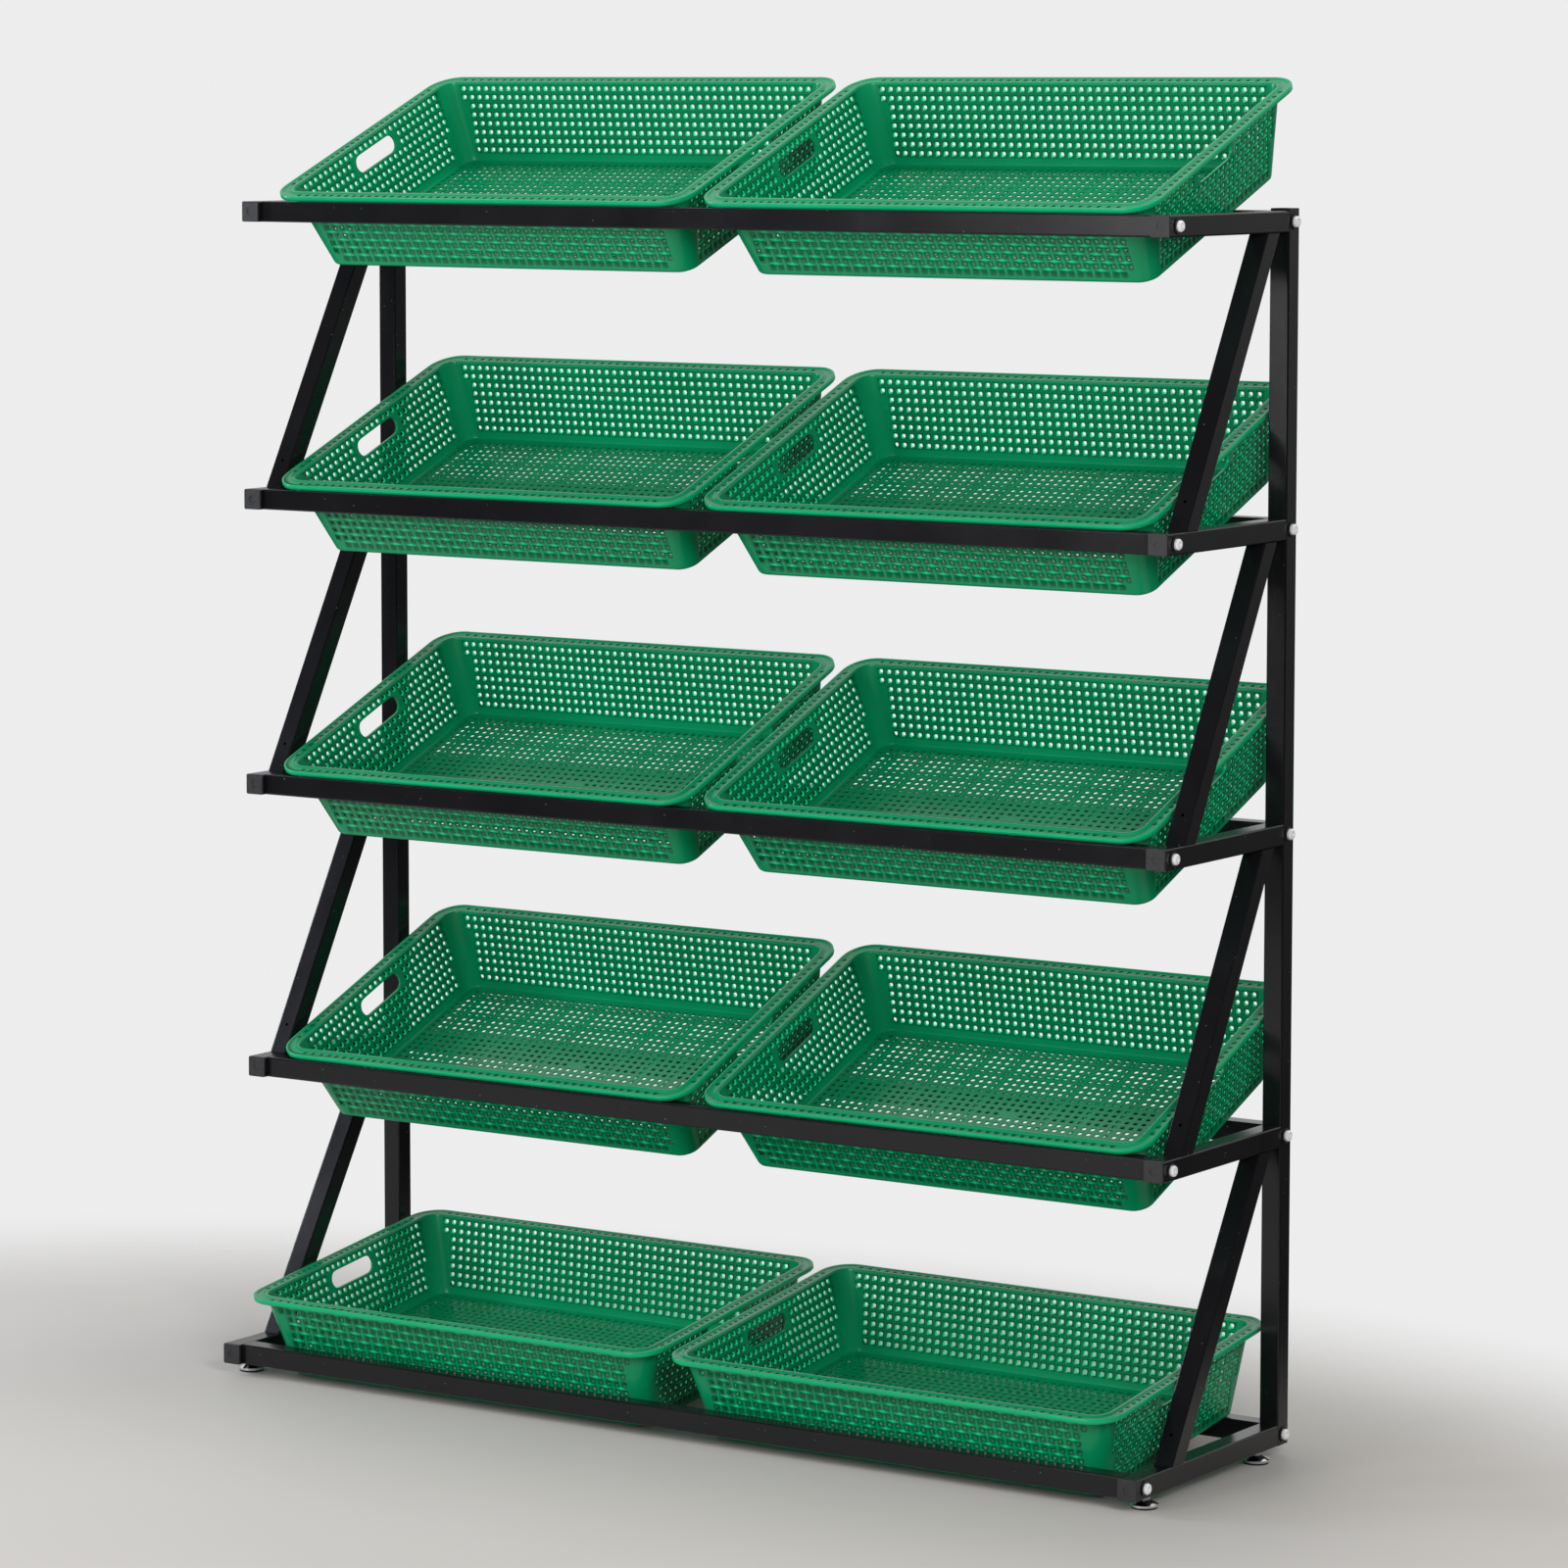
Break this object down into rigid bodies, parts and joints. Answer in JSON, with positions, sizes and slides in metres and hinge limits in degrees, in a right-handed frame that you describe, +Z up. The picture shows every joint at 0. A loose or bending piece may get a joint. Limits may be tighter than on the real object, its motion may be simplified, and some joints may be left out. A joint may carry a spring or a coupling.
{
  "type": "produce display stand",
  "caption": "Tiered produce stand: black square-tube side frames and bolted rails carry side-by-side green perforated plastic baskets, tilted forward, which lift out; screw-in levelling feet.",
  "frame": {"origin": "on the ground, under the middle of the stand's overall box", "axes": "+Z up, +X to the right seen from the front, +Y towards the back, so the baskets face -Y"},
  "size_m": [1.322, 0.4328, 1.6088],
  "materials": {
    "frame_paint": "semi-gloss black powder coat",
    "basket_plastic": "moulded green plastic, satin to gloss",
    "cap_plastic": "matt dark plastic",
    "washer_plastic": "matt black plastic",
    "bolt_zinc": "bright zinc plating",
    "foot_chrome": "bright nickel plating",
    "sole_rubber": "matt black rubber",
    "fitting_steel": "plain zinc-plated steel"
  },
  "bodies": {
    "frame": {"left_post": "frame_paint", "left_arm_1": "frame_paint", "left_arm_2": "frame_paint", "left_arm_3": "frame_paint", "left_arm_4": "frame_paint", "left_arm_5": "frame_paint", "left_brace_1": "frame_paint", "left_brace_2": "frame_paint", "left_brace_3": "frame_paint", "left_brace_4": "frame_paint", "right_post": "frame_paint", "right_arm_1": "frame_paint", "right_arm_2": "frame_paint", "right_arm_3": "frame_paint", "right_arm_4": "frame_paint", "right_arm_5": "frame_paint", "right_brace_1": "frame_paint", "right_brace_2": "frame_paint", "right_brace_3": "frame_paint", "right_brace_4": "frame_paint", "front_rail_1": "frame_paint", "rear_rail_1": "frame_paint", "front_rail_2": "frame_paint", "rear_rail_2": "frame_paint", "front_rail_3": "frame_paint", "rear_rail_3": "frame_paint", "front_rail_4": "frame_paint", "rear_rail_4": "frame_paint", "front_rail_5": "frame_paint", "rear_rail_5": "frame_paint", "front_bolts": "bolt_zinc", "rear_bolts": "bolt_zinc", "bolt_washers": "washer_plastic", "rail_end_plugs": "fitting_steel", "arm_end_caps": "cap_plastic", "post_end_caps": "cap_plastic", "foot_weld_nuts": "fitting_steel", "foot_lock_nuts": "fitting_steel"},
    "left_basket_1": {"left_basket_1": "basket_plastic"},
    "left_basket_2": {"left_basket_2": "basket_plastic"},
    "left_basket_3": {"left_basket_3": "basket_plastic"},
    "left_basket_4": {"left_basket_4": "basket_plastic"},
    "left_basket_5": {"left_basket_5": "basket_plastic"},
    "right_basket_1": {"right_basket_1": "basket_plastic"},
    "right_basket_2": {"right_basket_2": "basket_plastic"},
    "right_basket_3": {"right_basket_3": "basket_plastic"},
    "right_basket_4": {"right_basket_4": "basket_plastic"},
    "right_basket_5": {"right_basket_5": "basket_plastic"},
    "front_left_foot": {"front_left_foot": "foot_chrome", "front_left_foot_sole": "sole_rubber"},
    "rear_left_foot": {"rear_left_foot": "foot_chrome", "rear_left_foot_sole": "sole_rubber"},
    "front_right_foot": {"front_right_foot": "foot_chrome", "front_right_foot_sole": "sole_rubber"},
    "rear_right_foot": {"rear_right_foot": "foot_chrome", "rear_right_foot_sole": "sole_rubber"}
  },
  "joints": [
    {"name": "left_basket_1_lift", "type": "slide", "parent": "frame", "child": "left_basket_1", "axis": [0, -0.1339, 0.991], "range_m": [0, 0.1]},
    {"name": "left_basket_2_lift", "type": "slide", "parent": "frame", "child": "left_basket_2", "axis": [0, -0.3807, 0.9247], "range_m": [0, 0.1]},
    {"name": "left_basket_3_lift", "type": "slide", "parent": "frame", "child": "left_basket_3", "axis": [0, -0.3807, 0.9247], "range_m": [0, 0.1]},
    {"name": "left_basket_4_lift", "type": "slide", "parent": "frame", "child": "left_basket_4", "axis": [0, -0.3807, 0.9247], "range_m": [0, 0.1]},
    {"name": "left_basket_5_lift", "type": "slide", "parent": "frame", "child": "left_basket_5", "axis": [0, -0.3807, 0.9247], "range_m": [0, 0.1]},
    {"name": "right_basket_1_lift", "type": "slide", "parent": "frame", "child": "right_basket_1", "axis": [0, -0.1339, 0.991], "range_m": [0, 0.1]},
    {"name": "right_basket_2_lift", "type": "slide", "parent": "frame", "child": "right_basket_2", "axis": [0, -0.3807, 0.9247], "range_m": [0, 0.1]},
    {"name": "right_basket_3_lift", "type": "slide", "parent": "frame", "child": "right_basket_3", "axis": [0, -0.3807, 0.9247], "range_m": [0, 0.1]},
    {"name": "right_basket_4_lift", "type": "slide", "parent": "frame", "child": "right_basket_4", "axis": [0, -0.3807, 0.9247], "range_m": [0, 0.1]},
    {"name": "right_basket_5_lift", "type": "slide", "parent": "frame", "child": "right_basket_5", "axis": [0, -0.3807, 0.9247], "range_m": [0, 0.1]},
    {"name": "front_left_foot_screw", "type": "slide", "parent": "frame", "child": "front_left_foot", "axis": [0, 0, -1], "range_m": [0, 0.012]},
    {"name": "rear_left_foot_screw", "type": "slide", "parent": "frame", "child": "rear_left_foot", "axis": [0, 0, -1], "range_m": [0, 0.012]},
    {"name": "front_right_foot_screw", "type": "slide", "parent": "frame", "child": "front_right_foot", "axis": [0, 0, -1], "range_m": [0, 0.012]},
    {"name": "rear_right_foot_screw", "type": "slide", "parent": "frame", "child": "rear_right_foot", "axis": [0, 0, -1], "range_m": [0, 0.012]}
  ]
}
